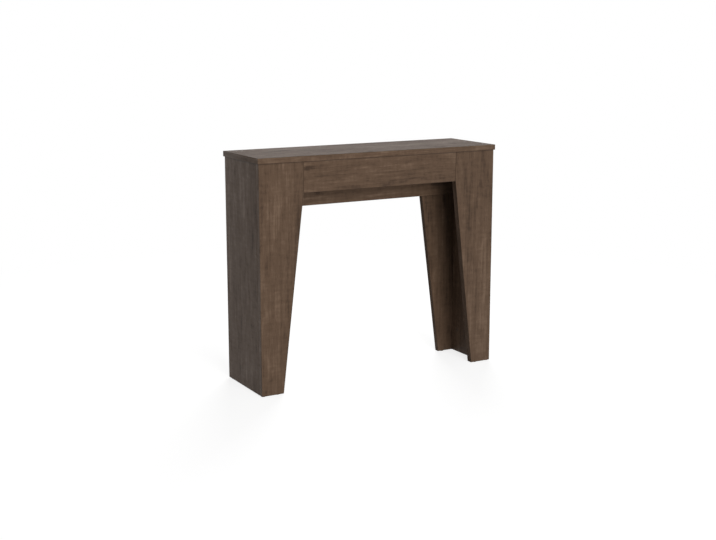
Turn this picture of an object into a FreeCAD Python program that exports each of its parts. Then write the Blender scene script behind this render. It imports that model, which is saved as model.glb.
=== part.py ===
import FreeCAD
import Part
import os

# Extending console table, in millimetres.
# X runs along the width, Y from the front to the wall, Z up.
# The origin is on the floor under the middle of the closed table.

# Table top and body
top_width = 900.0
top_depth = 270.0
top_thickness = 18.0
table_height = 770.0
top_overhang = 4.0
front_board = 22.0
side_board = 18.0
rear_board = 18.0
arris = 0.6

# Front portal
apron_height = 100.0
front_foot_width = 78.0
front_head_width = 156.0

# Rear frame, nested inside the front frame
side_gap = 2.0
inner_front_gap = 5.0
rear_setback = 62.0
rear_foot_width = 78.0
rear_head_width = 172.0
beam_height = 125.0
slide_gap = 2.0

# Side by side slide rails, counted from the inner side board inwards
rail_count = 10
rail_width = 12.0
rail_height = 40.0
rail_gap = 0.5
rail_front_gap = 4.0
rail_rear_gap = 5.0
slot_mouth = 12.0
slot_height = 20.0
slot_lip = 1.8
slot_depth = 4.0
rail_wall = 1.8
shoe_length = 40.0
shoe_clearance = 0.3
stop_gap = 1.0

# Angle that hangs the last rail under the top
hanger_wall = 2.0
hanger_leg = 34.0
hanger_flange = 24.0
hanger_screw_shares = (0.12, 0.5, 0.88)
hanger_rail_screw_shares = (0.25, 0.75)

# Cam locks and their bolts
cam_diameter = 15.0
cam_depth = 13.0
cam_edge = 34.0
cam_slot_width = 2.0
cam_slot_depth = 2.5
bolt_diameter = 7.0
bolt_thread_diameter = 6.0
bolt_thread_length = 11.0
corner_cam_shares = (0.14, 0.86)
top_cam_shares = (0.35, 0.75)

# Wooden dowels
dowel_diameter = 8.0
dowel_length = 30.0
dowel_face_depth = 11.0
corner_dowel_shares = (0.07, 0.5, 0.93)
side_top_dowel_shares = (0.15, 0.55, 0.92)
leg_top_dowel_shares = (0.3, 0.7)
apron_top_dowel_shares = (0.2, 0.8)
apron_end_dowel_shares = (0.3, 0.7)
beam_end_dowel_shares = (0.25, 0.75)

# Screws with a pan head or a sunk head
screw_diameter = 3.5
screw_length = 12.0
screw_head_diameter = 7.0
screw_head_height = 2.2
rail_screw_length = 7.0
side_screw_length = 18.0
beam_screw_length = 30.0
sunk_head_diameter = 7.0
sunk_head_height = 2.0
recess_length = 4.0
recess_width = 0.9
recess_depth = 1.1
side_screw_shares = (0.15, 0.5, 0.85)
beam_screw_across_shares = (0.2, 0.5, 0.8)
beam_screw_height_share = 0.5

# Angle brackets and flat plates behind the apron
bracket_wall = 2.0
bracket_leg = 28.0
bracket_width = 24.0
bracket_places_shares = (-0.28, 0.0, 0.28)
plate_wall = 2.0
plate_length = 64.0
plate_height = 18.0
plate_lift = 14.0
plate_screw_shares = (-0.38, -0.16, 0.16, 0.38)

# Sleeves for the pins of a loose leaf, in the rear edge of the top
sleeve_diameter = 12.0
sleeve_bore_diameter = 8.0
sleeve_length = 24.0
sleeve_spacing = 600.0

# Nailed glides under the boards
glide_diameter = 14.0
glide_height = 2.0
nail_diameter = 3.0
nail_length = 12.0
glide_inset = 20.0

# Rubber pads that meet the front legs when the table closes
bumper_diameter = 10.0
bumper_clearance = 0.3
bumper_shares = (0.12, 0.88)

# Clearances
fit = 0.1
end_gap = 1.0
overrun = 5.0

# Levels and faces worked out from the sizes above
under_top = table_height - top_thickness
apron_bottom = under_top - apron_height
inner_top = under_top - slide_gap
rail_bottom = inner_top - rail_height
beam_top = rail_bottom - slide_gap
body_x = top_width / 2 - top_overhang
front_y = -top_depth / 2 + top_overhang
back_y = top_depth / 2 - top_overhang
front_inner_y = front_y + front_board
outer_side_x = body_x - side_board
inner_side_out_x = outer_side_x - side_gap
inner_side_in_x = inner_side_out_x - side_board
inner_side_front_y = front_inner_y + inner_front_gap
rear_leg_back_y = back_y - rear_setback
rear_leg_front_y = rear_leg_back_y - rear_board
beam_front_y = rear_leg_front_y - rear_board
beam_bottom = beam_top - beam_height
front_leg_head_x = body_x - front_head_width
rail_front_y = front_inner_y + rail_front_gap
rail_back_y = back_y - rail_rear_gap
rail_length = rail_back_y - rail_front_y
stage_travel = rail_length - 2 * shoe_length - stop_gap
hanger_out_x = inner_side_in_x - rail_count * rail_width - (rail_count - 1) * rail_gap

AXIS_X = FreeCAD.Vector(1, 0, 0)
AXIS_Y = FreeCAD.Vector(0, 1, 0)
AXIS_Z = FreeCAD.Vector(0, 0, 1)


def between(low, high, share):
    return low + share * (high - low)


def point(x, y, z):
    return FreeCAD.Vector(x, y, z)


def box(x0, x1, y0, y1, z0, z1):
    return Part.makeBox(x1 - x0, y1 - y0, z1 - z0, point(x0, y0, z0))


def rod(start, axis, diameter, length):
    return Part.makeCylinder(diameter / 2, length, start, axis)


def mirrored(shape):
    return shape.mirror(point(0, 0, 0), AXIS_X)


def both_sides(shapes):
    return shapes + [mirrored(shape) for shape in shapes]


def save(name, shapes):
    group = shapes[0] if len(shapes) == 1 else Part.makeCompound(shapes)
    group.exportStep("parts/" + name + ".step")


def drilled(board, tools):
    near = [tool for tool in tools if board.BoundBox.intersect(tool.BoundBox)]
    return board.cut(near).Solids[0] if near else board


# Boards
def eased(board):
    return board.makeChamfer(arris, board.Edges)


def table_top():
    half = top_width / 2
    return eased(box(-half, half, -top_depth / 2, top_depth / 2, under_top, table_height))


def front_apron():
    head = front_leg_head_x
    return eased(box(-head, head, front_y, front_inner_y, apron_bottom, under_top))


def leg_board(outline, y0, y1):
    corners = [point(x, y0, z) for x, z in outline]
    face = Part.Face(Part.makePolygon(corners + corners[:1]))
    return eased(face.extrude(AXIS_Y * (y1 - y0)))


def front_leg():
    foot = body_x - front_foot_width
    outline = [(foot, glide_height), (body_x, glide_height), (body_x, under_top)]
    outline += [(front_leg_head_x, under_top), (front_leg_head_x, apron_bottom)]
    return leg_board(outline, front_y, front_inner_y)


def rear_leg():
    foot = inner_side_out_x - rear_foot_width
    head = inner_side_out_x - rear_head_width
    outline = [(foot, glide_height), (inner_side_out_x, glide_height)]
    outline += [(inner_side_out_x, beam_top), (head, beam_top)]
    return leg_board(outline, rear_leg_front_y, rear_leg_back_y)


def outer_side():
    return eased(box(outer_side_x, body_x, front_inner_y, back_y, glide_height, under_top))


def inner_side():
    return eased(box(inner_side_in_x, inner_side_out_x, inner_side_front_y, rear_leg_front_y,
                     glide_height, inner_top))


def rear_beam():
    half = inner_side_in_x
    return eased(box(-half, half, beam_front_y, rear_leg_front_y, beam_bottom, beam_top))


# Slide rails: rail 0 is screwed to the inner side board and the last one hangs under the top
def rail_out_x(index):
    return inner_side_in_x - index * (rail_width + rail_gap)


def rail(index):
    out_x = rail_out_x(index)
    in_x = out_x - rail_width
    middle = rail_bottom + rail_height / 2
    bar = box(in_x, out_x, rail_front_y, rail_back_y, rail_bottom, inner_top)
    y0 = rail_front_y - overrun
    y1 = rail_back_y + overrun
    mouth = (middle - slot_mouth / 2, middle + slot_mouth / 2)
    chamber = (middle - slot_height / 2, middle + slot_height / 2)
    cuts = [box(out_x - slot_depth, out_x + overrun, y0, y1, *mouth)]
    cuts += [box(in_x - overrun, in_x + slot_depth, y0, y1, *mouth)]
    cuts += [box(out_x - slot_depth, out_x - slot_lip, y0, y1, *chamber)]
    cuts += [box(in_x + slot_lip, in_x + slot_depth, y0, y1, *chamber)]
    hollow_x = (in_x + rail_wall, out_x - rail_wall)
    cuts += [box(*hollow_x, y0, y1, rail_bottom + rail_wall, chamber[0] - rail_wall)]
    cuts += [box(*hollow_x, y0, y1, chamber[1] + rail_wall, inner_top - rail_wall)]
    return bar.cut(cuts).Solids[0]


# A shoe is fast in one rail's slot and runs in the slot of the rail beside it
def shoe(index, held_by_outer):
    middle = rail_bottom + rail_height / 2
    outer_face = rail_out_x(index) - rail_width
    inner_face = outer_face - rail_gap
    outer_clear = 0 if held_by_outer else shoe_clearance
    inner_clear = shoe_clearance if held_by_outer else 0
    y0 = rail_front_y if held_by_outer else rail_back_y - shoe_length
    y1 = y0 + shoe_length
    web = slot_mouth / 2 - shoe_clearance
    outer_flange = slot_height / 2 - outer_clear
    inner_flange = slot_height / 2 - inner_clear
    outer_start = outer_face + slot_lip + outer_clear
    outer_end = outer_face + slot_depth - outer_clear
    inner_start = inner_face - slot_depth + inner_clear
    inner_end = inner_face - slot_lip - inner_clear
    body = box(inner_start, outer_end, y0, y1, middle - web, middle + web)
    outer = box(outer_start, outer_end, y0, y1, middle - outer_flange, middle + outer_flange)
    inner = box(inner_start, inner_end, y0, y1, middle - inner_flange, middle + inner_flange)
    return body.fuse([outer, inner]).removeSplitter().Solids[0]


def shoes_of_rail(index):
    shapes = []
    if index < rail_count - 1:
        shapes.append(shoe(index, True))
    if index > 0:
        shapes.append(shoe(index - 1, False))
    return both_sides(shapes)


def rail_hanger():
    leg = box(hanger_out_x - hanger_wall, hanger_out_x, rail_front_y, rail_back_y,
              under_top - hanger_leg, under_top)
    flange = box(hanger_out_x - hanger_flange, hanger_out_x, rail_front_y, rail_back_y,
                 under_top - hanger_wall, under_top)
    return leg.fuse(flange).removeSplitter().Solids[0]


# Fasteners: each gives its solid and the hole that it needs
def dowel(start, axis):
    solid = rod(start, axis, dowel_diameter, dowel_length)
    hole = rod(start - axis * end_gap, axis, dowel_diameter + 2 * fit, dowel_length + 2 * end_gap)
    return solid, hole


def cam_lock(centre, outward, edge_point, into_face):
    pocket_start = centre - outward * cam_depth
    housing = rod(pocket_start, outward, cam_diameter, cam_depth)
    pocket = rod(pocket_start, outward, cam_diameter + 2 * fit, cam_depth + overrun)
    thread = rod(edge_point, into_face, bolt_thread_diameter, bolt_thread_length)
    reach = (edge_point - centre).dot(into_face)
    axis_point = edge_point - into_face * reach
    shank = rod(axis_point, into_face, bolt_diameter, reach)
    shank_hole = rod(axis_point, into_face, bolt_diameter + 2 * fit, reach)
    thread_bore = bolt_thread_diameter + 2 * fit
    thread_hole = rod(edge_point, into_face, thread_bore, bolt_thread_length + end_gap)
    inner_end = rod(axis_point - into_face * end_gap, into_face, bolt_diameter + 2 * fit, reach)
    across = outward.cross(into_face)
    slot = slot_cut(centre, outward, across, cam_diameter, cam_slot_width, cam_slot_depth)
    bolt = shank.fuse(thread).removeSplitter().Solids[0]
    return housing.cut([inner_end, slot]).Solids[0], bolt, [pocket, shank_hole, thread_hole]


# A straight driver slot sunk into a face whose outward direction is given
def slot_cut(centre, outward, along, length, width, depth):
    across = outward.cross(along)
    start = centre - along * (length / 2) - across * (width / 2) - outward * depth
    first = start + along * length
    corners = [start, first, first + across * width, start + across * width, start]
    return Part.Face(Part.makePolygon(corners)).extrude(outward * (depth + overrun))


def cross_recess(face_centre, outward, along):
    across = outward.cross(along)
    size = (recess_length, recess_width, recess_depth)
    return [slot_cut(face_centre, outward, along, *size), slot_cut(face_centre, outward, across, *size)]


def pan_screw(seat, inward, along, length):
    head = rod(seat - inward * screw_head_height, inward, screw_head_diameter, screw_head_height)
    shank = rod(seat, inward, screw_diameter, length)
    recess = cross_recess(seat - inward * screw_head_height, inward * -1, along)
    hole = rod(seat, inward, screw_diameter + 2 * fit, length + end_gap)
    return head.fuse(shank).removeSplitter().cut(recess).Solids[0], hole


def sunk_screw(seat, inward, along, length):
    head = Part.makeCone(sunk_head_diameter / 2, screw_diameter / 2, sunk_head_height, seat, inward)
    shank = rod(seat + inward * sunk_head_height, inward, screw_diameter, length - sunk_head_height)
    recess = cross_recess(seat, inward * -1, along)
    hole = rod(seat, inward, screw_diameter + 2 * fit, length + end_gap)
    wide = sunk_head_diameter / 2 + fit
    sink = Part.makeCone(wide, screw_diameter / 2 + fit, sunk_head_height, seat, inward)
    return head.fuse(shank).removeSplitter().cut(recess).Solids[0], hole.fuse(sink)


def glide(x, y):
    disc = rod(point(x, y, 0), AXIS_Z, glide_diameter, glide_height)
    nail = rod(point(x, y, glide_height), AXIS_Z, nail_diameter, nail_length)
    hole = rod(point(x, y, glide_height), AXIS_Z, nail_diameter + 2 * fit, nail_length + end_gap)
    return disc.fuse(nail).removeSplitter().Solids[0], hole


# Places of the fasteners, worked out for the right side and mirrored
def front_dowels():
    places = []
    side_middle_x = (outer_side_x + body_x) / 2
    front_middle_y = (front_y + front_inner_y) / 2
    for share in corner_dowel_shares:
        z = between(glide_height, under_top, share)
        places.append((point(side_middle_x, front_inner_y - dowel_face_depth, z), AXIS_Y))
    drop = under_top + dowel_face_depth - dowel_length
    for share in side_top_dowel_shares:
        places.append((point(side_middle_x, between(front_inner_y, back_y, share), drop), AXIS_Z))
    for share in leg_top_dowel_shares:
        places.append((point(between(front_leg_head_x, outer_side_x, share), front_middle_y, drop), AXIS_Z))
    for share in apron_top_dowel_shares:
        places.append((point(front_leg_head_x * share, front_middle_y, drop), AXIS_Z))
    for share in apron_end_dowel_shares:
        start_x = front_leg_head_x - dowel_length / 2
        places.append((point(start_x, front_middle_y, between(apron_bottom, under_top, share)), AXIS_X))
    return [dowel(*place) for place in places]


def rear_dowels():
    places = []
    side_middle_x = (inner_side_in_x + inner_side_out_x) / 2
    for share in corner_dowel_shares:
        start_y = rear_leg_front_y + dowel_face_depth - dowel_length
        places.append((point(side_middle_x, start_y, between(glide_height, beam_top, share)), AXIS_Y))
    for share in beam_end_dowel_shares:
        start_x = inner_side_in_x + dowel_face_depth - dowel_length
        middle_y = (beam_front_y + rear_leg_front_y) / 2
        places.append((point(start_x, middle_y, between(beam_bottom, beam_top, share)), AXIS_X))
    return [dowel(*place) for place in places]


def front_cams():
    cams = []
    middle_x = (outer_side_x + body_x) / 2
    for share in corner_cam_shares:
        z = between(glide_height, under_top, share)
        centre = point(outer_side_x, front_inner_y + cam_edge, z)
        cams.append(cam_lock(centre, AXIS_X * -1, point(middle_x, front_inner_y, z), AXIS_Y * -1))
    for share in top_cam_shares:
        y = between(front_inner_y, back_y, share)
        centre = point(outer_side_x, y, under_top - cam_edge)
        cams.append(cam_lock(centre, AXIS_X * -1, point(middle_x, y, under_top), AXIS_Z))
    return cams


def rear_cams():
    cams = []
    middle_x = (inner_side_in_x + inner_side_out_x) / 2
    for share in corner_cam_shares:
        z = between(glide_height, beam_bottom, share)
        centre = point(inner_side_in_x, rear_leg_front_y - cam_edge, z)
        cams.append(cam_lock(centre, AXIS_X * -1, point(middle_x, rear_leg_front_y, z), AXIS_Y))
    return cams


def front_glides():
    legs_y = (front_y + front_inner_y) / 2
    sides_x = (outer_side_x + body_x) / 2
    foot = body_x - front_foot_width
    return [glide(foot + glide_inset, legs_y), glide(sides_x, legs_y), glide(sides_x, back_y - glide_inset)]


def rear_glides():
    legs_y = (rear_leg_front_y + rear_leg_back_y) / 2
    sides_x = (inner_side_in_x + inner_side_out_x) / 2
    foot = inner_side_out_x - rear_foot_width
    sides_y = inner_side_front_y + glide_inset
    return [glide(foot + glide_inset, legs_y), glide(sides_x, legs_y), glide(sides_x, sides_y)]


def closing_bumpers():
    x = (inner_side_in_x + inner_side_out_x) / 2
    length = inner_front_gap - bumper_clearance
    heights = [between(glide_height, inner_top, share) for share in bumper_shares]
    starts = [point(x, inner_side_front_y, z) for z in heights]
    return both_sides([rod(start, AXIS_Y * -1, bumper_diameter, length) for start in starts])


def beam_screws():
    screws = []
    z = between(beam_bottom, beam_top, beam_screw_height_share)
    head = inner_side_out_x - rear_head_width
    for share in beam_screw_across_shares:
        seat = point(between(head, inner_side_in_x, share), rear_leg_back_y, z)
        screws.append(sunk_screw(seat, AXIS_Y * -1, AXIS_X, beam_screw_length))
    return screws


# The heads of these screws lie in the bottom of the first rail's inner slot
def rail_side_screws():
    screws = []
    x = inner_side_in_x - rail_width + slot_depth
    z = rail_bottom + rail_height / 2
    for share in side_screw_shares:
        seat = point(x, between(inner_side_front_y, rear_leg_front_y, share), z)
        screws.append(sunk_screw(seat, AXIS_X, AXIS_Z, side_screw_length))
    return screws


def hanger_rail_screws():
    screws = []
    x = hanger_out_x - hanger_wall
    z = rail_bottom + rail_height / 2
    for share in hanger_rail_screw_shares:
        seat = point(x, between(rail_front_y, rail_back_y, share), z)
        screws.append(pan_screw(seat, AXIS_X, AXIS_Z, rail_screw_length))
    return screws


def hanger_top_screws():
    screws = []
    x = hanger_out_x - (hanger_wall + hanger_flange) / 2
    for share in hanger_screw_shares:
        seat = point(x, between(rail_front_y, rail_back_y, share), under_top - hanger_wall)
        screws.append(pan_screw(seat, AXIS_Z, AXIS_X, screw_length))
    return screws


def bracket_places():
    return [share * 2 * front_leg_head_x for share in bracket_places_shares]


def top_bracket(x):
    x0 = x - bracket_width / 2
    x1 = x + bracket_width / 2
    leg = box(x0, x1, front_inner_y, front_inner_y + bracket_wall, under_top - bracket_leg, under_top)
    flange = box(x0, x1, front_inner_y, front_inner_y + bracket_leg, under_top - bracket_wall, under_top)
    return leg.fuse(flange).removeSplitter().Solids[0]


def bracket_screws():
    screws = []
    middle = (bracket_wall + bracket_leg) / 2
    for x in bracket_places():
        for step in (-bracket_width / 4, bracket_width / 4):
            low = point(x + step, front_inner_y + bracket_wall, under_top - middle)
            high = point(x + step, front_inner_y + middle, under_top - bracket_wall)
            screws.append(pan_screw(low, AXIS_Y * -1, AXIS_X, screw_length))
            screws.append(pan_screw(high, AXIS_Z, AXIS_X, screw_length))
    return screws


def apron_plate():
    z0 = apron_bottom + plate_lift
    x0 = front_leg_head_x - plate_length / 2
    return box(x0, x0 + plate_length, front_inner_y, front_inner_y + plate_wall, z0, z0 + plate_height)


def plate_screws():
    z = apron_bottom + plate_lift + plate_height / 2
    y = front_inner_y + plate_wall
    places = [point(front_leg_head_x + share * plate_length, y, z) for share in plate_screw_shares]
    return [pan_screw(place, AXIS_Y * -1, AXIS_X, screw_length) for place in places]


def leaf_sleeve():
    start = point(sleeve_spacing / 2, top_depth / 2 - sleeve_length, under_top + top_thickness / 2)
    outer = rod(start, AXIS_Y, sleeve_diameter, sleeve_length)
    bore = rod(start, AXIS_Y, sleeve_bore_diameter, sleeve_length + overrun)
    seat = rod(start, AXIS_Y, sleeve_diameter, sleeve_length + overrun)
    return outer.cut(bore).Solids[0], seat


def solids_of(pairs):
    return both_sides([pair[0] for pair in pairs])


def holes_of(pairs):
    return both_sides([pair[1] for pair in pairs])


def cam_holes(cams):
    return both_sides([hole for cam in cams for hole in cam[2]])


def build_front_frame():
    dowels = front_dowels()
    cams = front_cams()
    glides = front_glides()
    side_screws = hanger_top_screws() + plate_screws()
    middle_screws = bracket_screws()
    rail_screws = hanger_rail_screws()
    sleeve, sleeve_seat = leaf_sleeve()
    holes = holes_of(dowels + glides + side_screws + rail_screws) + cam_holes(cams)
    holes += [screw[1] for screw in middle_screws] + both_sides([sleeve_seat])
    save("table_top", [drilled(table_top(), holes)])
    save("front_apron", [drilled(front_apron(), holes)])
    paired = {"front_leg": front_leg(), "outer_side": outer_side(), "rail_hanger": rail_hanger()}
    for name, shape in paired.items():
        save(name + "_right", [drilled(shape, holes)])
        save(name + "_left", [drilled(mirrored(shape), holes)])
    save("front_dowels", solids_of(dowels))
    save("front_cam_housings", both_sides([cam[0] for cam in cams]))
    save("front_cam_bolts", both_sides([cam[1] for cam in cams]))
    save("top_brackets", [drilled(top_bracket(x), holes) for x in bracket_places()])
    save("apron_plates", [drilled(plate, holes) for plate in both_sides([apron_plate()])])
    save("front_screws", solids_of(side_screws) + [screw[0] for screw in middle_screws])
    save("hanger_rail_screws", solids_of(rail_screws))
    save("leaf_pin_sleeves", both_sides([sleeve]))
    save("front_glides", solids_of(glides))
    return holes


def build_rear_frame():
    dowels = rear_dowels()
    cams = rear_cams()
    glides = rear_glides()
    joining_screws = beam_screws()
    side_screws = rail_side_screws()
    holes = holes_of(dowels + glides + joining_screws + side_screws) + cam_holes(cams)
    paired = {"inner_side": inner_side(), "rear_leg": rear_leg()}
    for name, shape in paired.items():
        save(name + "_right", [drilled(shape, holes)])
        save(name + "_left", [drilled(mirrored(shape), holes)])
    save("rear_beam", [drilled(rear_beam(), holes)])
    save("rear_dowels", solids_of(dowels))
    save("rear_cam_housings", both_sides([cam[0] for cam in cams]))
    save("rear_cam_bolts", both_sides([cam[1] for cam in cams]))
    save("beam_screws", solids_of(joining_screws))
    save("rail_side_screws", solids_of(side_screws))
    save("rear_glides", solids_of(glides))
    save("closing_bumpers", closing_bumpers())
    return holes


def build_rails(holes):
    for index in range(rail_count):
        shape = rail(index)
        save("rail_right_%02d" % index, [drilled(shape, holes)])
        save("rail_left_%02d" % index, [drilled(mirrored(shape), holes)])
        save("rail_shoes_%02d" % index, shoes_of_rail(index))


os.makedirs("parts", exist_ok=True)
front_holes = build_front_frame()
rear_holes = build_rear_frame()
build_rails(front_holes + rear_holes)
print("stage travel", stage_travel, "full travel", stage_travel * (rail_count - 1))
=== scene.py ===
import math
import bpy
import numpy as np
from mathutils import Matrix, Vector


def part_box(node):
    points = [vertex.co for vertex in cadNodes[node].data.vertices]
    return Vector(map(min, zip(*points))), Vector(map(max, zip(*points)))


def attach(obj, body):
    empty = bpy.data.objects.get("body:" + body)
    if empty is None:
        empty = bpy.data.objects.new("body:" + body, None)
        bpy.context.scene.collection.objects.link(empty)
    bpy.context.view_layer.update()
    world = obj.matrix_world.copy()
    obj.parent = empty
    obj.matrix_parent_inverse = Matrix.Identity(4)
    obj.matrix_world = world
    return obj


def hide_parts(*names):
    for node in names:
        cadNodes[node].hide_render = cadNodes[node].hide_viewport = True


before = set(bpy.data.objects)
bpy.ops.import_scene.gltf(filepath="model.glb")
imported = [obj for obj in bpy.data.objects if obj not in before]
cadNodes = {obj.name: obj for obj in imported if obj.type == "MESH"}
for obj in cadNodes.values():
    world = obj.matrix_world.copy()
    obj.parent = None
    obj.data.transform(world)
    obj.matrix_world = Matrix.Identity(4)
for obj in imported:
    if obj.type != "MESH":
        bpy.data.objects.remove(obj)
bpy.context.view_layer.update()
scene = bpy.context.scene
print("frame loaded with", len(cadNodes), "nodes")

# Camera

cameraPlace = {
    "location": (-2.0008, -3.4891, 1.1777),  # metres
    "yaw": -29.612,  # degrees, turned to the right
    "pitch": 10.947,  # degrees, tipped down
    "lens": 60.218,  # mm
    "sensor": 36.0,  # mm wide
    "shiftDown": 0.02,  # share of the picture's width
}


def placeCamera(place):
    lens = bpy.data.cameras.new("camera")
    lens.sensor_width = place["sensor"]
    lens.lens = place["lens"]
    lens.shift_y = -place["shiftDown"]
    camera = bpy.data.objects.new("camera", lens)
    camera.location = place["location"]
    tilt = math.radians(90.0 - place["pitch"])
    camera.rotation_euler = (tilt, 0.0, math.radians(place["yaw"]))
    scene.collection.objects.link(camera)
    scene.camera = camera


placeCamera(cameraPlace)
print("camera placed")

# Node helpers


def addNode(tree, kind, inputs=None, **settings):
    made = tree.nodes.new(kind)
    for name, value in settings.items():
        setattr(made, name, value)
    for name, value in (inputs or {}).items():
        if isinstance(value, bpy.types.NodeSocket):
            tree.links.new(value, made.inputs[name])
        else:
            made.inputs[name].default_value = value
    return made


def calc(tree, operation, first, second=0.0, third=0.0):
    values = {0: first, 1: second, 2: third}
    return addNode(tree, "ShaderNodeMath", values, operation=operation).outputs[0]


def centred(tree, value):
    return calc(tree, "SUBTRACT", value, 0.5)  # noise lies about one half


def blendColour(tree, share, first, second, kind="MIX"):
    values = {0: share, 6: first, 7: second}
    mixed = addNode(tree, "ShaderNodeMix", values, data_type="RGBA", blend_type=kind)
    return mixed.outputs[2]


def scaledColour(tree, colour, share):
    values = {0: colour, "Scale": share}
    return addNode(tree, "ShaderNodeVectorMath", values, operation="SCALE").outputs[0]


def remap(tree, value, low, high, toLow=0.0, toHigh=1.0):
    values = {0: value, 1: low, 2: high, 3: toLow, 4: toHigh}
    eased = addNode(tree, "ShaderNodeMapRange", values, interpolation_type="SMOOTHSTEP")
    return eased.outputs[0]


def plainNoise(tree, vector, scale, detail, roughness=0.5):
    values = {"Vector": vector, "Scale": scale, "Detail": detail, "Roughness": roughness}
    return addNode(tree, "ShaderNodeTexNoise", values).outputs[0]


def stretchedNoise(tree, vector, stretch, place, detail=3.0, roughness=0.55):
    values = {"Vector": vector, "Scale": stretch, "Location": place}
    mapped = addNode(tree, "ShaderNodeMapping", values).outputs[0]
    return plainNoise(tree, mapped, 1.0, detail, roughness)


def objectPlace(tree):
    return addNode(tree, "ShaderNodeTexCoord").outputs["Object"]


def newGroup(name, inputs):
    # every finish group takes its own inputs and gives a colour, a roughness and a height
    tree = bpy.data.node_groups.new(name, "ShaderNodeTree")
    outputs = {"Color": "Color", "Roughness": "Float", "Height": "Float"}
    for sense, sockets in (("INPUT", inputs), ("OUTPUT", outputs)):
        for label, kind in sockets.items():
            tree.interface.new_socket(name=label, in_out=sense, socket_type="NodeSocket" + kind)
    return tree, tree.nodes.new("NodeGroupInput").outputs, tree.nodes.new("NodeGroupOutput").inputs


def giveFinish(tree, result, colour, rough, height):
    tree.links.new(colour, result["Color"])
    tree.links.new(rough, result["Roughness"])
    tree.links.new(height, result["Height"])


def useGroup(tree, group, inputs):
    return addNode(tree, "ShaderNodeGroup", inputs, node_tree=group).outputs


def newMaterial(name, shader):
    made = bpy.data.materials.new(name)
    made.use_nodes = True
    tree = made.node_tree
    surface = tree.nodes["Principled BSDF"]
    for label, value in shader.items():
        surface.inputs[label].default_value = value
    return made, tree, surface


def joinFinish(tree, surface, finish, bump, colour=None, rough=None):
    strength, distance = bump
    values = {"Strength": strength, "Distance": distance, "Height": finish["Height"]}
    raised = addNode(tree, "ShaderNodeBump", values).outputs[0]
    tree.links.new(colour or finish["Color"], surface.inputs["Base Color"])
    tree.links.new(rough or finish["Roughness"], surface.inputs["Roughness"])
    tree.links.new(raised, surface.inputs["Normal"])


# Walnut decor: broad tone, soft bands, fine streaks, pores and small knots along the grain

decorLook = {
    "dark": (0.048, 0.030, 0.020, 1.0),
    "middle": (0.098, 0.0612, 0.0392, 1.0),
    "light": (0.158, 0.104, 0.070, 1.0),
    "tone": 1.00,
    "band": 0.10,
    "streak": 0.80,
    "fibre": 0.90,
    "mottle": 0.62,
    "curl": 0.38,
    "knot": 0.80,
    "pore": 0.60,
    "gloss": 0.53,  # roughness of the laminate
    "specular": 0.18,
    "bump": (0.35, 0.0002),  # strength and depth
}
decorColours = ("Dark", "Middle", "Light")
decorLayers = ("Tone", "Band", "Streak", "Fibre", "Mottle", "Curl", "Knot", "Pore")
decorDrift = ((1.3, 5.0, 1.0), (3.1, 0.7, 0.0), 2.0)  # noise that bends the grain
decorNoise = {  # stretch along and across the grain, place, detail and roughness
    "tone": ((1.9, 11.0, 1.0), (0.4, 5.2, 0.0), 3.0, 0.60),
    "streak": ((7.0, 50.0, 1.0), (6.3, 2.9, 0.0), 4.0, 0.65),
    "fibre": ((4.0, 420.0, 1.0), (7.7, 1.3, 0.0), 5.0, 0.70),
    "mottle": ((15.0, 52.0, 1.0), (2.2, 8.4, 0.0), 2.5, 0.55),
    "curl": ((85.0, 26.0, 1.0), (4.9, 3.6, 0.0), 2.0, 0.50),  # soft bars across the grain
    "pore": ((45.0, 1300.0, 1.0), (9.1, 4.4, 0.0), 2.0, 0.50),
}
decorForm = {
    "sway": 0.030,  # metres that the grain wanders
    "bandWaves": 480.0,  # radians to a metre across the grain
    "bandDepth": 0.25,
    "spotDepth": -0.5,  # knots and pores are darker
    "poreLimits": (0.58, 0.70),
    "darkLimits": (0.1, 0.5),
    "lightLimits": (0.5, 0.9),
    "fibreDull": 0.12,  # how much each adds to the roughness
    "darkDull": 0.26,
    "poreDull": 0.12,
    "fibreHeight": 0.5,
    "poreHeight": -0.6,
}
knotForm = {
    "cells": (2.6, 8.0, 1.0),  # knots to a metre along and across the grain
    "place": (1.7, 0.35, 0.0),
    "someLimits": (0.62, 0.74),  # only some cells hold one
    "reachLimits": (0.085, 0.010),
    "ragged": 0.05,
    "rings": 260.0,
    "ringDepth": 0.22,
}


def makeKnots(tree, place, fibre):
    values = {"Vector": place, "Scale": knotForm["cells"], "Location": knotForm["place"]}
    mapped = addNode(tree, "ShaderNodeMapping", values).outputs[0]
    values = {"Vector": mapped, "Scale": 1.0}
    spot = addNode(tree, "ShaderNodeTexVoronoi", values, voronoi_dimensions="2D").outputs
    pick = addNode(tree, "ShaderNodeSeparateColor", {0: spot["Color"]}).outputs[0]
    some = remap(tree, pick, *knotForm["someLimits"])
    fray = centred(tree, fibre)
    ragged = calc(tree, "MULTIPLY_ADD", fray, knotForm["ragged"], spot["Distance"])
    wave = calc(tree, "SINE", calc(tree, "MULTIPLY", ragged, knotForm["rings"]))
    ring = calc(tree, "MULTIPLY_ADD", wave, knotForm["ringDepth"], 1.0 - knotForm["ringDepth"])
    near = remap(tree, ragged, *knotForm["reachLimits"])
    return calc(tree, "MULTIPLY", calc(tree, "MULTIPLY", near, some), ring)


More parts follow.
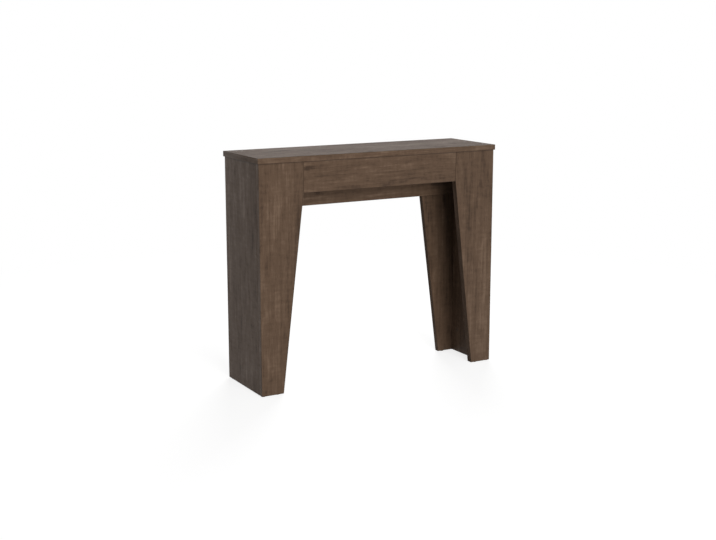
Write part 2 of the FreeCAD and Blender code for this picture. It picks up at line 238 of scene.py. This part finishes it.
def makeDecorGroup():
    inputs = {"Vector": "Vector", "Gloss": "Float"}
    inputs.update({label: "Color" for label in decorColours})
    inputs.update({label: "Float" for label in decorLayers})
    tree, given, result = newGroup("walnutDecor", inputs)
    drift = centred(tree, stretchedNoise(tree, given["Vector"], *decorDrift))
    apart = addNode(tree, "ShaderNodeSeparateXYZ", {0: given["Vector"]}).outputs
    across = calc(tree, "ADD", apart[1], calc(tree, "MULTIPLY", drift, decorForm["sway"]))
    place = addNode(tree, "ShaderNodeCombineXYZ", {0: apart[0], 1: across}).outputs[0]
    noise = {name: stretchedNoise(tree, place, *look) for name, look in decorNoise.items()}
    band = calc(tree, "SINE", calc(tree, "MULTIPLY", across, decorForm["bandWaves"]))
    knot = makeKnots(tree, place, noise["fibre"])
    pores = remap(tree, noise["pore"], *decorForm["poreLimits"])
    layers = {
        "Band": calc(tree, "MULTIPLY", band, decorForm["bandDepth"]),
        "Knot": calc(tree, "MULTIPLY", knot, decorForm["spotDepth"]),
        "Pore": calc(tree, "MULTIPLY", pores, decorForm["spotDepth"]),
    }
    shade = 0.5  # from dark at 0 to light at 1
    for label in decorLayers:
        layer = layers[label] if label in layers else centred(tree, noise[label.lower()])
        shade = calc(tree, "MULTIPLY_ADD", layer, given[label], shade)
    lower = remap(tree, shade, *decorForm["darkLimits"])
    upper = remap(tree, shade, *decorForm["lightLimits"])
    colour = blendColour(tree, lower, given["Dark"], given["Middle"])
    colour = blendColour(tree, upper, colour, given["Light"])
    fibre = centred(tree, noise["fibre"])
    depth = calc(tree, "SUBTRACT", 0.5, shade)  # dark wood shines less
    rough = calc(tree, "MULTIPLY_ADD", fibre, decorForm["fibreDull"], given["Gloss"])
    rough = calc(tree, "MULTIPLY_ADD", depth, decorForm["darkDull"], rough)
    rough = calc(tree, "MULTIPLY_ADD", pores, decorForm["poreDull"], rough)
    height = calc(tree, "MULTIPLY", noise["fibre"], decorForm["fibreHeight"])
    height = calc(tree, "MULTIPLY_ADD", pores, decorForm["poreHeight"], height)
    giveFinish(tree, result, colour, rough, height)
    return tree


decorGroup = makeDecorGroup()

# Moulded skin: fine spark texture and faint clouding, for plastics and rubber

skinForm = {
    "grainDetail": 2.0,
    "grainDull": 0.25,
    "cloud": ((90.0, 90.0, 90.0), (0.3, 0.6, 0.2), 3.0),  # scale, place and detail
    "cloudDepth": 2.0,
    "bump": (0.3, 0.00008),
}


def makeSkinGroup():
    inputs = {"Vector": "Vector", "Color": "Color"}
    inputs.update({label: "Float" for label in ("Clouding", "Roughness", "Grain Size")})
    tree, given, result = newGroup("mouldedSkin", inputs)
    grain = plainNoise(tree, given["Vector"], given["Grain Size"], skinForm["grainDetail"])
    cloud = centred(tree, stretchedNoise(tree, given["Vector"], *skinForm["cloud"]))
    shade = calc(tree, "MULTIPLY", cloud, given["Clouding"])
    lift = calc(tree, "MULTIPLY_ADD", shade, skinForm["cloudDepth"], 1.0)
    spark = centred(tree, grain)
    rough = calc(tree, "MULTIPLY_ADD", spark, skinForm["grainDull"], given["Roughness"])
    giveFinish(tree, result, scaledColour(tree, given["Color"], lift), rough, grain)
    return tree


skinGroup = makeSkinGroup()

# Drawn metal: lines along one direction and faint stains, for extrusions and plated steel

drawnForm = {
    "lineDetail": 3.0,
    "lineShade": 0.18,
    "lineDull": 0.22,
    "stain": ((60.0, 60.0, 60.0), (0.1, 0.5, 0.9), 4.0),  # scale, place and detail
    "bump": (0.25, 0.00005),
}


def makeDrawnGroup():
    inputs = {"Vector": "Vector", "Color": "Color", "Line Scale": "Vector"}
    inputs.update({label: "Float" for label in ("Stain", "Roughness")})
    tree, given, result = newGroup("drawnMetal", inputs)
    values = {0: given["Vector"], 1: given["Line Scale"]}
    scaled = addNode(tree, "ShaderNodeVectorMath", values, operation="MULTIPLY").outputs[0]
    line = plainNoise(tree, scaled, 1.0, drawnForm["lineDetail"])
    stain = centred(tree, stretchedNoise(tree, given["Vector"], *drawnForm["stain"]))
    shade = calc(tree, "MULTIPLY", stain, given["Stain"])
    drawn = centred(tree, line)
    fleck = calc(tree, "MULTIPLY_ADD", drawn, drawnForm["lineShade"], shade)
    colour = scaledColour(tree, given["Color"], calc(tree, "ADD", fleck, 1.0))
    rough = calc(tree, "MULTIPLY_ADD", drawn, drawnForm["lineDull"], given["Roughness"])
    giveFinish(tree, result, colour, calc(tree, "ADD", rough, shade), line)
    return tree


drawnGroup = makeDrawnGroup()

# Finishes

paintedEdgeLine = {"share": 0.50, "colour": (0.028, 0.019, 0.014, 1.0)}  # painted shade line along each board's rounded edges
paintedEdgeShade = {
    "shade": (0.64, 0.63, 0.62, 1.0),  # glued on edging is darker
    "dull": 0.24,  # and more matt
    "outer": 0.0,  # painted shade on the board edges which are also more matt but not on the outer edges
}
overhangShadow = {
    "width": 0.006,  # painted shadow of the top's overhang on the boards close under it
    "share": 0.45,
    "clear": 0.0001,  # keeps it off the top's own underside
}


def decorValues(place):
    values = {"Vector": place, "Gloss": decorLook["gloss"]}
    for label in decorColours + decorLayers:
        values[label] = decorLook[label.lower()]
    return values


# painted shadow under the top's overhang: darker towards the top's underside, over the given width
def paintedOverhangShare(tree):
    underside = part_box("table_top")[0][2]
    height = addNode(tree, "ShaderNodeSeparateXYZ", {0: objectPlace(tree)}).outputs[2]
    near = remap(tree, height, underside - overhangShadow["width"], underside, 0.0, overhangShadow["share"])
    below = calc(tree, "LESS_THAN", height, underside - overhangShadow["clear"])
    return calc(tree, "MULTIPLY", near, below)


def makeWalnutBoard():
    shader = {"Specular IOR Level": decorLook["specular"]}
    made, tree, surface = newMaterial("walnutBoard", shader)
    place = addNode(tree, "ShaderNodeUVMap", uv_map="grain").outputs[0]
    finish = useGroup(tree, decorGroup, decorValues(place))
    # rim weights the painted shade line along the rounded edges, band the painted shade on the
    # edges, and the last blend paints the overhang's shadow
    rim = addNode(tree, "ShaderNodeAttribute", attribute_name="rim").outputs["Fac"]
    band = addNode(tree, "ShaderNodeAttribute", attribute_name="band").outputs["Fac"]
    shadeLineShare = calc(tree, "MULTIPLY", rim, paintedEdgeLine["share"])
    colour = blendColour(tree, band, finish["Color"], paintedEdgeShade["shade"], "MULTIPLY")
    colour = blendColour(tree, shadeLineShare, colour, paintedEdgeLine["colour"])
    colour = blendColour(tree, paintedOverhangShare(tree), colour, paintedEdgeLine["colour"])
    rough = calc(tree, "MULTIPLY_ADD", band, paintedEdgeShade["dull"], finish["Roughness"])
    joinFinish(tree, surface, finish, decorLook["bump"], colour, rough)
    return made


def makeMoulded(name, look):
    made, tree, surface = newMaterial(name, {"Specular IOR Level": look["specular"]})
    values = {
        "Vector": objectPlace(tree),
        "Color": look["colour"],
        "Clouding": look["clouding"],
        "Roughness": look["roughness"],
        "Grain Size": look["grain"],
    }
    joinFinish(tree, surface, useGroup(tree, skinGroup, values), skinForm["bump"])
    return made


def makeMetal(name, look):
    made, tree, surface = newMaterial(name, {"Metallic": 1.0})
    values = {
        "Vector": objectPlace(tree),
        "Color": look["colour"],
        "Line Scale": look["lines"],
        "Stain": look["stain"],
        "Roughness": look["roughness"],
    }
    joinFinish(tree, surface, useGroup(tree, drawnGroup, values), drawnForm["bump"])
    return made


mouldedLooks = {
    "blackNylon": {
        "colour": (0.050, 0.050, 0.052, 1.0),
        "clouding": 0.18,
        "roughness": 0.50,
        "grain": 2400.0,
        "specular": 0.4,
    },
    "brownPlastic": {
        "colour": (0.100, 0.072, 0.055, 1.0),
        "clouding": 0.16,
        "roughness": 0.52,
        "grain": 2600.0,
        "specular": 0.4,
    },
    "capPlastic": {
        "colour": (0.094, 0.062, 0.043, 1.0),
        "clouding": 0.20,
        "roughness": 0.55,
        "grain": 2200.0,
        "specular": 0.3,
    },
    "blackRubber": {
        "colour": (0.030, 0.030, 0.030, 1.0),
        "clouding": 0.25,
        "roughness": 0.80,
        "grain": 1800.0,
        "specular": 0.2,
    },
}
metalLooks = {
    "railAluminium": {
        "colour": (0.53, 0.54, 0.55, 1.0),
        "lines": (1800.0, 4.0, 1800.0),
        "stain": 0.12,
        "roughness": 0.38,
    },
    "zincSteel": {
        "colour": (0.55, 0.56, 0.57, 1.0),
        "lines": (900.0, 900.0, 900.0),
        "stain": 0.22,
        "roughness": 0.34,
    },
    "bracketSteel": {
        "colour": (0.50, 0.50, 0.50, 1.0),
        "lines": (20.0, 1600.0, 1600.0),
        "stain": 0.25,
        "roughness": 0.42,
    },
}
beechLook = {
    "dark": (0.40, 0.26, 0.15, 1.0),
    "light": (0.62, 0.45, 0.28, 1.0),
    "fibre": ((600.0, 40.0, 600.0), (0.2, 0.4, 0.6), 4.0),  # stretch, place and detail
    "fibreLimits": (0.2, 0.8),
    "roughness": (0.5, 0.75),
    "specular": 0.20,
}


def makeBeech():
    made, tree, surface = newMaterial("beech", {"Specular IOR Level": beechLook["specular"]})
    fibre = stretchedNoise(tree, objectPlace(tree), *beechLook["fibre"])
    colour = blendColour(tree, fibre, beechLook["dark"], beechLook["light"])
    rough = remap(tree, fibre, *beechLook["fibreLimits"], *beechLook["roughness"])
    tree.links.new(colour, surface.inputs["Base Color"])
    tree.links.new(rough, surface.inputs["Roughness"])
    return made


finishes = {"walnutBoard": makeWalnutBoard(), "beech": makeBeech()}
for name, look in mouldedLooks.items():
    finishes[name] = makeMoulded(name, look)
for name, look in metalLooks.items():
    finishes[name] = makeMetal(name, look)
print("finishes made:", len(finishes))

# Boards: a rounded edge profile carried round each board's outline

boardFinish = {
    "edgeRadius": 0.0007,  # rounding of the long edges
    "cornerRadius": 0.0012,  # rounding of the outline's corners
    "leastRadius": 0.0002,
    "shadeLineWidth": 0.0005,  # painted shade line beside each rounding
    "shadeLineWeight": 0.40,  # of the other boards' painted shade line against the top's
    "roundSteps": 4,
    "cornerSteps": 4,
}
legShape = {"frontFoot": 0.078, "rearFoot": 0.078}  # widths at the floor


def roundedOutline(corners, inset, radius, steps):
    # the outline drawn in by inset, each corner an arc that meets its two sides:
    # centre plus radius times a normal turned from the side behind to the side ahead
    ahead = np.roll(corners, -1, axis=0) - corners
    ahead = ahead / np.linalg.norm(ahead, axis=1, keepdims=True)
    normalAhead = np.stack([ahead[:, 1], -ahead[:, 0]], axis=1)
    normalBehind = np.roll(normalAhead, 1, axis=0)
    cosine = np.sum(normalAhead * normalBehind, axis=1, keepdims=True)
    centre = corners - (normalAhead + normalBehind) / (1.0 + cosine) * (inset + radius)
    turn = np.arccos(np.clip(cosine, -1.0, 1.0))
    share = np.linspace(0.0, 1.0, steps + 1)[None, :]
    fromBehind = (np.sin((1.0 - share) * turn) / np.sin(turn))[..., None]
    fromAhead = (np.sin(share * turn) / np.sin(turn))[..., None]
    arc = fromBehind * normalBehind[:, None, :] + fromAhead * normalAhead[:, None, :]
    return (centre[:, None, :] + radius * arc).reshape(-1, 2)


def boardProfile(thickness):
    # inset and height of each ring: flat, quarter round, edge, quarter round, flat,
    # with the painted shade line's weight
    radius = boardFinish["edgeRadius"]
    line = boardFinish["shadeLineWidth"]
    bend = np.linspace(0.0, math.pi / 2, boardFinish["roundSteps"] + 1)
    risen = radius * (1.0 - np.cos(bend))
    drawn = radius * (1.0 - np.sin(bend))
    inset = np.concatenate([[radius + line], drawn, [0.0, 0.0], risen, [radius + line]])
    lower = np.concatenate([[0.0], risen, [radius + line]])
    height = np.concatenate([lower, thickness - lower[::-1]])
    dark = np.ones(bend.size)
    weight = np.concatenate([[0.0], dark, [0.0, 0.0], dark, [0.0]])
    return inset, height, weight


def ringCorners(rings):
    # the four corners of each face between one ring and the next
    beside = np.roll(rings, -1, axis=1)
    return np.stack([rings[:-1], beside[:-1], beside[1:], rings[1:]], axis=2)


def boardSurface(corners, low, high, axes, grain, offset):
    # ring i is the outline drawn in by inset i at height i;
    # axes are the two of the outline and the thickness
    inset, height, weight = boardProfile(high - low)
    radii = np.maximum(boardFinish["cornerRadius"] - inset, boardFinish["leastRadius"])
    steps = boardFinish["cornerSteps"]
    rings = np.stack([roundedOutline(corners, i, r, steps) for i, r in zip(inset, radii)])
    count = rings.shape[1]
    points = np.zeros((rings.shape[0], count, 3))
    points[..., axes[0]] = rings[..., 0]
    points[..., axes[1]] = rings[..., 1]
    points[..., axes[2]] = low + height[:, None]
    index = np.arange(rings.shape[0] * count).reshape(rings.shape[0], count)
    flat = rings[..., [grain, 1 - grain]]
    quads = ringCorners(index)
    decor = ringCorners(flat)
    outer = rings[int(np.argmin(inset))]
    run = np.linalg.norm(np.roll(outer, -1, axis=0) - outer, axis=1)
    ends = np.cumsum(run)
    starts = ends - run
    climb = np.cumsum(np.hypot(np.diff(inset), np.diff(height)))
    below, above = climb[:-2], climb[1:-1]
    band = decor[1:-1]  # the edge's grain runs round the board
    band[..., 0] = np.stack([starts, ends, ends, starts], axis=1)[None]
    band[..., 1] = np.stack([below, below, above, above], axis=1)[:, None, :]
    caps = [index[0][::-1], index[-1]]
    capDecor = [flat[0][::-1], flat[-1]]
    quads = quads.reshape(-1, 4)
    decor = decor.reshape(-1, 4, 2)
    if (axes[1] - axes[0]) % 3 != 1:  # a left handed set of axes turns every face round
        quads = quads[:, ::-1]
        decor = decor[:, ::-1]
        caps = [ring[::-1] for ring in caps]
        capDecor = [ring[::-1] for ring in capDecor]
    faces = quads.tolist() + [ring.tolist() for ring in caps]
    decor = np.concatenate([decor.reshape(-1, 2)] + capDecor) + np.array(offset)
    # edge faces take the painted edge shade, the flat rings and caps none
    edgeShadeShare = np.ones(len(faces))
    edgeShadeShare[:count] = 0.0
    edgeShadeShare[-count - 2:] = 0.0
    return points.reshape(-1, 3), faces, decor, np.repeat(weight, count), edgeShadeShare


def addValues(mesh, name, domain, values):
    made = mesh.attributes.new(name, "FLOAT", domain)
    made.data.foreach_set("value", values.astype(np.float32))


def makePiece(name, points, faces, finish, decor=None, weight=None, edgeShadeShare=None):
    mesh = bpy.data.meshes.new(name)
    mesh.from_pydata(points.tolist(), [], faces)
    if decor is not None:
        grain = mesh.uv_layers.new(name="grain")
        grain.data.foreach_set("uv", decor.astype(np.float32).ravel())
        addValues(mesh, "rim", "POINT", weight)
        addValues(mesh, "band", "FACE", edgeShadeShare)
    mesh.polygons.foreach_set("use_smooth", np.ones(len(mesh.polygons), bool))
    mesh.materials.append(finishes[finish])
    mesh.update()
    piece = bpy.data.objects.new(name, mesh)
    scene.collection.objects.link(piece)
    return piece


def rectangle(lo, hi, axes):
    a, b = axes[0], axes[1]
    return np.array([(lo[a], lo[b]), (hi[a], lo[b]), (hi[a], hi[b]), (lo[a], hi[b])])


def frontLegOutline(lo, hi):
    # foot, outer edge, head and the upright stretch beside the apron
    apronLow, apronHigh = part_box("front_apron")
    inner = hi[0] - legShape["frontFoot"]
    foot = [(inner, lo[2]), (hi[0], lo[2])]
    head = [(hi[0], hi[2]), (apronHigh[0], hi[2]), (apronHigh[0], apronLow[2])]
    return np.array(foot + head)


def rearLegOutline(lo, hi):
    inner = hi[0] - legShape["rearFoot"]
    return np.array([(inner, lo[2]), (hi[0], lo[2]), (hi[0], hi[2]), (lo[0], hi[2])])


def mirrored(outline):
    return (outline * np.array([-1.0, 1.0]))[::-1]


flatAxes = (0, 1, 2)
frontAxes = (0, 2, 1)
sideAxes = (1, 2, 0)
boardPlan = {  # node: piece, body, axes, outline axis of the grain, place in the decor
    "table_top": ("top_board", "front_frame", flatAxes, 0, (0.31, 1.27)),
    "front_apron": ("apron_board", "front_frame", frontAxes, 0, (19.60, 2.36)),
    "front_leg_left": ("front_leg_board_left", "front_frame", frontAxes, 1, (17.17, 5.79)),
    "front_leg_right": ("front_leg_board_right", "front_frame", frontAxes, 1, (25.12, 3.33)),
    "outer_side_left": ("outer_side_board_left", "front_frame", sideAxes, 1, (13.61, 8.55)),
    "outer_side_right": ("outer_side_board_right", "front_frame", sideAxes, 1, (8.83, 5.91)),
    "inner_side_left": ("inner_side_board_left", "rear_frame", sideAxes, 1, (10.57, 6.37)),
    "inner_side_right": ("inner_side_board_right", "rear_frame", sideAxes, 1, (12.24, 7.72)),
    "rear_leg_left": ("rear_leg_board_left", "rear_frame", frontAxes, 1, (13.96, 8.53)),
    "rear_leg_right": ("rear_leg_board_right", "rear_frame", frontAxes, 1, (15.68, 9.29)),
    "rear_beam": ("beam_board", "rear_frame", frontAxes, 0, (3.61, 11.63)),
}


def boardOutline(node, axes):
    lo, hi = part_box(node)
    if node == "front_leg_right":
        return frontLegOutline(lo, hi)
    if node == "rear_leg_right":
        return rearLegOutline(lo, hi)
    if node in ("front_leg_left", "rear_leg_left"):
        return mirrored(boardOutline(node.replace("left", "right"), axes))
    return rectangle(lo, hi, axes)


boards = {}
for node, (name, body, axes, grain, offset) in boardPlan.items():
    lo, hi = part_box(node)
    across = axes[2]
    surface = boardSurface(boardOutline(node, axes), lo[across], hi[across], axes, grain, offset)
    points, faces, decor, weight, edgeShadeShare = surface
    if node == "table_top":  # no painted shade on its edges
        edgeShadeShare[:] = paintedEdgeShade["outer"]
    else:
        weight = weight * boardFinish["shadeLineWeight"]
    if node.startswith("front_leg"):  # no painted shade on its outer edge, which faces the light like the side board
        reach = np.abs(np.array([points[face[:4], 0].mean() for face in faces]))
        outermost = max(abs(lo[0]), abs(hi[0]))
        edgeShadeShare[reach > outermost - boardFinish["edgeRadius"]] = paintedEdgeShade["outer"]
    boards[node] = makePiece(name, points, faces, "walnutBoard", decor, weight, edgeShadeShare)
    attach(boards[node], body)
    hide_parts(node)
print("boards made:", len(boards))

# Places of the small fittings, from the frame's own solids


def solidBoxes(node):
    # points that share a triangle share a label;
    # each label's lowest and highest corners are one solid's box
    mesh = cadNodes[node].data
    points = np.zeros(len(mesh.vertices) * 3)
    mesh.vertices.foreach_get("co", points)
    corners = np.zeros(len(mesh.loops), int)
    mesh.loops.foreach_get("vertex_index", corners)
    points = points.reshape(-1, 3).round(5)  # to a hundredth of a millimetre
    points, same = np.unique(points, axis=0, return_inverse=True)
    triangles = same.ravel()[corners].reshape(-1, 3)
    label = np.arange(len(points))
    settled = False
    while not settled:
        least = label.copy()
        lowest = np.repeat(label[triangles].min(axis=1), 3)
        np.minimum.at(least, triangles.ravel(), lowest)
        least = least[least]
        settled = bool((least == label).all())
        label = least
    groups = [points[label == one] for one in np.unique(label)]
    return [(group.min(axis=0), group.max(axis=0)) for group in groups]


def turnedSurface(profile, steps, centre, axis, sense):
    # a profile of radius and height turned about an axis,
    # its first point on the axis and its last ring closed flat
    angle = np.linspace(0.0, 2.0 * math.pi, steps, endpoint=False)
    radius = profile[1:, 0][:, None]
    rise = np.repeat(profile[1:, 1][:, None], steps, axis=1)
    rings = np.stack([radius * np.cos(angle), radius * np.sin(angle), rise], axis=-1)
    rings = rings.reshape(-1, 3)
    local = np.concatenate([[[0.0, 0.0, profile[0, 1]]], rings])
    points = np.zeros_like(local)
    points[:, (axis + 1) % 3] = local[:, 0]
    points[:, (axis + 2) % 3] = local[:, 1] * sense
    points[:, axis] = local[:, 2] * sense
    index = np.arange(rings.shape[0]).reshape(-1, steps) + 1
    beside = np.roll(index, -1, axis=1)
    fan = np.stack([np.zeros(steps, int), index[0], beside[0]], axis=1)
    quads = np.stack([index[:-1], index[1:], beside[1:], beside[:-1]], axis=-1).reshape(-1, 4)
    faces = fan.tolist() + quads.tolist() + [index[-1][::-1].tolist()]
    return points + np.array(centre), faces


def joinSurfaces(surfaces):
    starts = np.cumsum([0] + [len(points) for points, faces in surfaces]).tolist()
    joined = []
    for start, (points, faces) in zip(starts, surfaces):
        joined += [[start + corner for corner in face] for face in faces]
    return np.concatenate([points for points, faces in surfaces]), joined


# Sleeve holes in the top's rear edge

sleeveHole = {
    "steps": 48,
    "overrun": 0.004,  # past the edge
    "sharp": 40.0,  # degrees, edges over this stay crisp
}


def cutSleeveHoles(board):
    surfaces = []
    for lo, hi in solidBoxes("leaf_pin_sleeves"):
        radius = (hi[0] - lo[0]) / 2
        length = hi[1] - lo[1] + sleeveHole["overrun"]
        profile = np.array([(0.0, length), (radius, length), (radius, 0.0)])
        centre = ((lo[0] + hi[0]) / 2, lo[1], (lo[2] + hi[2]) / 2)
        surfaces.append(turnedSurface(profile, sleeveHole["steps"], centre, 1, 1.0))
    points, faces = joinSurfaces(surfaces)
    mesh = bpy.data.meshes.new("sleeve_cutter")
    mesh.from_pydata(points.tolist(), [], faces)
    cutter = bpy.data.objects.new("sleeve_cutter", mesh)
    scene.collection.objects.link(cutter)
    cut = board.modifiers.new("sleeves", "BOOLEAN")
    cut.object = cutter
    cut.solver = "EXACT"
    shaped = board.evaluated_get(bpy.context.evaluated_depsgraph_get())
    result = bpy.data.meshes.new_from_object(shaped)
    board.modifiers.clear()
    board.data = result
    bpy.data.objects.remove(cutter)
    result.set_sharp_from_angle(angle=math.radians(sleeveHole["sharp"]))


cutSleeveHoles(boards["table_top"])
print("sleeve holes cut")

# Cover caps over the cam housings and the beam screws

camCap = {"radius": 0.0086, "rise": 0.0009, "steps": 40}
screwCap = {"radius": 0.0062, "rise": 0.0013, "steps": 32}
capForm = {"crownReach": 0.88, "crownFall": 0.22, "crownSteps": 6, "rimSteps": 4}


def capProfile(look):
    # a low dome: height falls with the square of the radius, with a rounded rim down to the board
    share = np.linspace(0.0, 1.0, capForm["crownSteps"] + 1)
    reach = share * look["radius"] * capForm["crownReach"]
    crown = np.stack([reach, look["rise"] * (1.0 - capForm["crownFall"] * share ** 2)], axis=1)
    turn = np.linspace(0.0, math.pi / 2, capForm["rimSteps"] + 1)[1:]
    edge = crown[-1]
    out = edge[0] + (look["radius"] - edge[0]) * np.sin(turn)
    return np.concatenate([crown, np.stack([out, edge[1] * np.cos(turn)], axis=1)])


def makeCaps(name, surfaces, body):
    points, faces = joinSurfaces(surfaces)
    piece = makePiece(name, points, faces, "capPlastic")
    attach(piece, body)


def camCaps(name, node, body):
    surfaces = []
    for lo, hi in solidBoxes(node):
        sense = -1.0 if lo[0] > 0.0 else 1.0  # towards the knee space
        face = lo[0] if lo[0] > 0.0 else hi[0]
        centre = (face, (lo[1] + hi[1]) / 2, (lo[2] + hi[2]) / 2)
        surfaces.append(turnedSurface(capProfile(camCap), camCap["steps"], centre, 0, sense))
    makeCaps(name, surfaces, body)


def screwCaps(name, node, body):
    surfaces = []
    for lo, hi in solidBoxes(node):
        centre = ((lo[0] + hi[0]) / 2, hi[1], (lo[2] + hi[2]) / 2)
        surfaces.append(turnedSurface(capProfile(screwCap), screwCap["steps"], centre, 1, 1.0))
    makeCaps(name, surfaces, body)


camCaps("cam_caps_front", "front_cam_housings", "front_frame")
camCaps("cam_caps_rear", "rear_cam_housings", "rear_frame")
screwCaps("screw_caps", "beam_screws", "rear_frame")
print("caps made")

# Finishes of the fittings that keep their own solids

fittingFinish = {  # start of the node's name: finish
    "rail_left": "railAluminium",
    "rail_right": "railAluminium",
    "rail_hanger": "railAluminium",
    "rail_shoes": "blackNylon",
    "leaf_pin_sleeves": "blackNylon",
    "front_glides": "brownPlastic",
    "rear_glides": "brownPlastic",
    "closing_bumpers": "blackRubber",
    "front_cam": "zincSteel",
    "rear_cam": "zincSteel",
    "front_screws": "zincSteel",
    "rail_side_screws": "zincSteel",
    "hanger_rail_screws": "zincSteel",
    "beam_screws": "zincSteel",
    "top_brackets": "bracketSteel",
    "apron_plates": "bracketSteel",
    "front_dowels": "beech",
    "rear_dowels": "beech",
}
for node, piece in cadNodes.items():
    matches = [finish for start, finish in fittingFinish.items() if node.startswith(start)]
    if matches:
        piece.data.materials.clear()
        piece.data.materials.append(finishes[matches[0]])
print("fittings finished")

# Floor, world and lamps

studio = {
    "floorSize": 30.0,
    "floorColour": (0.40, 0.40, 0.40, 1.0),  # takes the shadow
    "floorGlow": 0.78,  # the rest of the floor's white
    "shadowReach": (0.9, 2.4),  # metres over which the floor goes over to plain white
    "worldStrength": 0.18,
    "white": (1.0, 1.0, 1.0, 1.0),
    "target": (0.0, 0.0, 0.4),
    "lamps": {  # place, width and power
        "key": ((-0.55, -4.6, 1.45), 2.4, 190.0),
        "back": ((2.4, 3.8, 1.8), 2.4, 190.0),
    },
}


def seenShare(tree):
    path = addNode(tree, "ShaderNodeLightPath").outputs
    share = calc(tree, "MAXIMUM", path["Is Camera Ray"], path["Is Glossy Ray"])
    return calc(tree, "MAXIMUM", share, path["Is Transmission Ray"])


def mixShaders(tree, share, first, second):
    values = {0: share, 1: first, 2: second}
    return addNode(tree, "ShaderNodeMixShader", values).outputs[0]


def makeFloorPaper():
    made = bpy.data.materials.new("floorPaper")
    made.use_nodes = True
    tree = made.node_tree
    tree.nodes.clear()
    paper = addNode(tree, "ShaderNodeBsdfDiffuse", {"Color": studio["floorColour"]}).outputs[0]
    glow = addNode(tree, "ShaderNodeEmission", {"Strength": studio["floorGlow"]}).outputs[0]
    near = addNode(tree, "ShaderNodeAddShader", {0: paper, 1: glow}).outputs[0]
    white = addNode(tree, "ShaderNodeEmission", {"Strength": 1.0}).outputs[0]
    values = {0: objectPlace(tree)}
    away = addNode(tree, "ShaderNodeVectorMath", values, operation="LENGTH").outputs["Value"]
    seen = mixShaders(tree, remap(tree, away, *studio["shadowReach"]), near, white)
    upper = mixShaders(tree, seenShare(tree), paper, seen)
    clear = addNode(tree, "ShaderNodeBsdfTransparent").outputs[0]
    below = addNode(tree, "ShaderNodeNewGeometry").outputs["Backfacing"]
    both = mixShaders(tree, below, upper, clear)  # seen from below the floor hides nothing
    addNode(tree, "ShaderNodeOutputMaterial", {"Surface": both})
    return made


def makeFloor():
    half = studio["floorSize"] / 2
    corners = [(-half, -half, 0.0), (half, -half, 0.0), (half, half, 0.0), (-half, half, 0.0)]
    mesh = bpy.data.meshes.new("floor")
    mesh.from_pydata(corners, [], [(0, 1, 2, 3)])
    mesh.materials.append(makeFloorPaper())
    floor = bpy.data.objects.new("floor", mesh)
    scene.collection.objects.link(floor)


def makeWorld():
    world = bpy.data.worlds.new("studio")
    scene.world = world
    world.use_nodes = True
    tree = world.node_tree
    tree.nodes.clear()
    shades = []
    for strength in (studio["worldStrength"], 1.0):  # as light, and as seen
        values = {"Color": studio["white"], "Strength": strength}
        shades.append(addNode(tree, "ShaderNodeBackground", values).outputs[0])
    both = mixShaders(tree, seenShare(tree), *shades)
    addNode(tree, "ShaderNodeOutputWorld", {"Surface": both})


def makeLamp(name, place, width, power):
    light = bpy.data.lights.new(name, "AREA")
    light.shape = "SQUARE"
    light.size = width
    light.energy = power
    lamp = bpy.data.objects.new(name, light)
    lamp.location = place
    aim = Vector(studio["target"]) - Vector(place)
    lamp.rotation_euler = aim.to_track_quat("-Z", "Y").to_euler()
    lamp.visible_glossy = False  # reflections show the white surroundings
    scene.collection.objects.link(lamp)


makeFloor()
makeWorld()
for name, (place, width, power) in studio["lamps"].items():
    makeLamp(name, place, width, power)
scene.view_settings.view_transform = "Standard"
print("studio lit")
